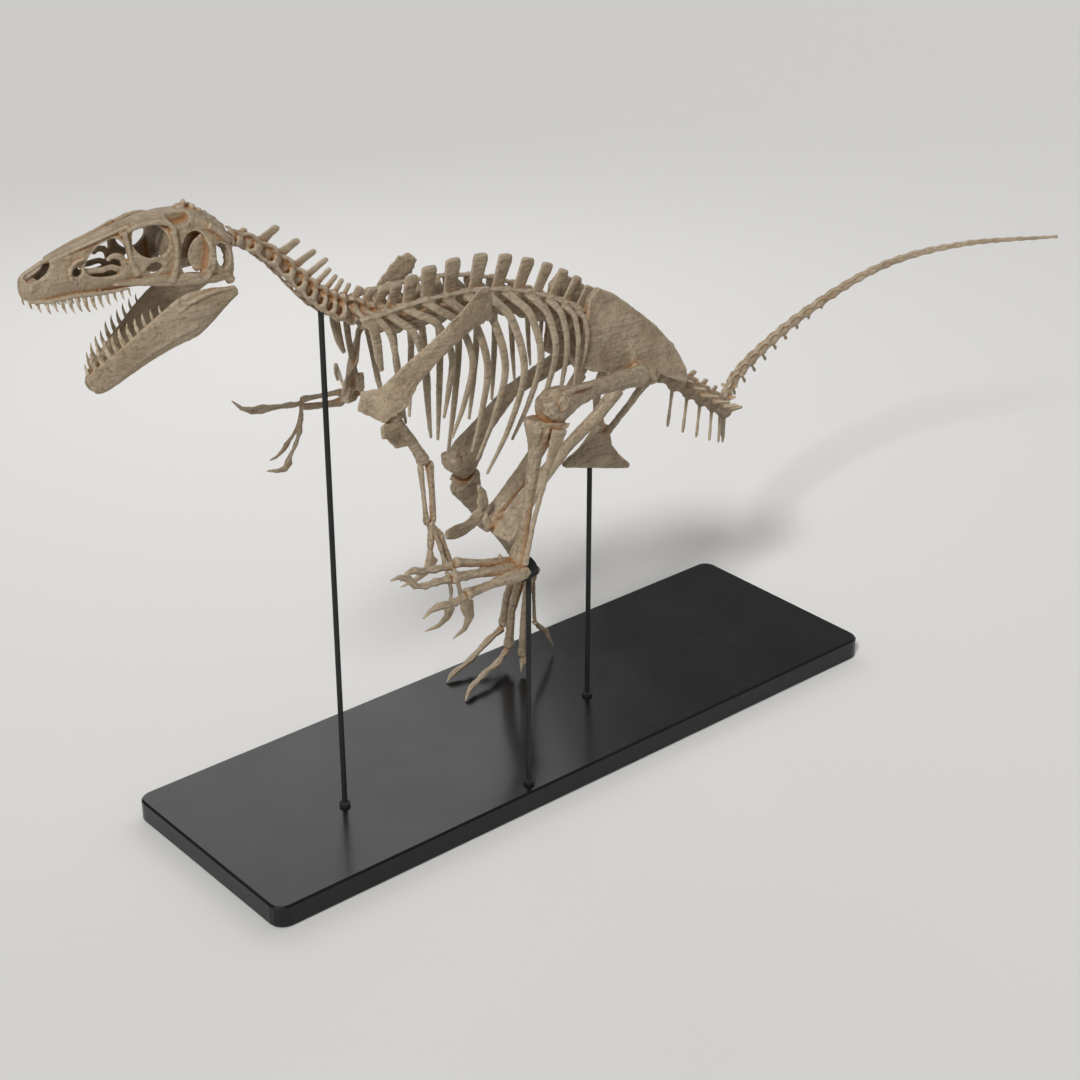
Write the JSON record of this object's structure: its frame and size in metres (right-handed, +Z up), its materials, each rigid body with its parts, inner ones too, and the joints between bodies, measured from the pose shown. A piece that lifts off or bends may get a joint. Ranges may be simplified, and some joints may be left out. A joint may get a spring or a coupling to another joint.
{
  "type": "mounted dinosaur skeleton",
  "caption": "Life-size mounted skeleton of a mid-sized meat-eating dinosaur, striding with one leg raised and jaws open, on a flat black base with thin support rods.",
  "frame": {"origin": "centre of the base's underside, on the floor", "axes": "+X along the base's length towards the tail, -X the way the head points, -Y the animal's left side, +Z up"},
  "size_m": [5.5222, 0.9913, 2.6],
  "materials": {
    "bone": "matte warm grey-beige fossil bone with brown stains",
    "base": "satin black lacquer",
    "rods": "matte black paint"
  },
  "bodies": {
    "root": {"back_front": "bone", "back_rear": "bone", "belly_bone": "bone", "femur_left": "bone", "femur_right": "bone", "fibula_left": "bone", "fibula_right": "bone", "finger_left_1": "bone", "finger_left_2": "bone", "finger_left_3": "bone", "finger_right_1": "bone", "finger_right_2": "bone", "finger_right_3": "bone", "humerus_left": "bone", "humerus_right": "bone", "ilium_left": "bone", "ilium_right": "bone", "ischium": "bone", "lower_jaw": "bone", "metatarsus_left": "bone", "metatarsus_right": "bone", "neck_front": "bone", "neck_rear": "bone", "pubis": "bone", "radius_left": "bone", "radius_right": "bone", "ribs_left": "bone", "ribs_right": "bone", "sacrum": "bone", "scapula_left": "bone", "scapula_right": "bone", "skull": "bone", "stand_base": "base", "stand_rod_front": "rods", "stand_rod_leg": "rods", "stand_rod_rear": "rods", "tail_1": "bone", "tail_2": "bone", "tail_3": "bone", "tail_4": "bone", "tail_5": "bone", "tail_6": "bone", "tibia_left": "bone", "tibia_right": "bone", "toe_left_1": "bone", "toe_left_2": "bone", "toe_left_3": "bone", "toe_left_4": "bone", "toe_right_1": "bone", "toe_right_2": "bone", "toe_right_3": "bone", "toe_right_4": "bone", "ulna_left": "bone", "ulna_right": "bone", "wishbone": "bone", "wrist_left": "bone", "wrist_right": "bone"}
  },
  "joints": []
}
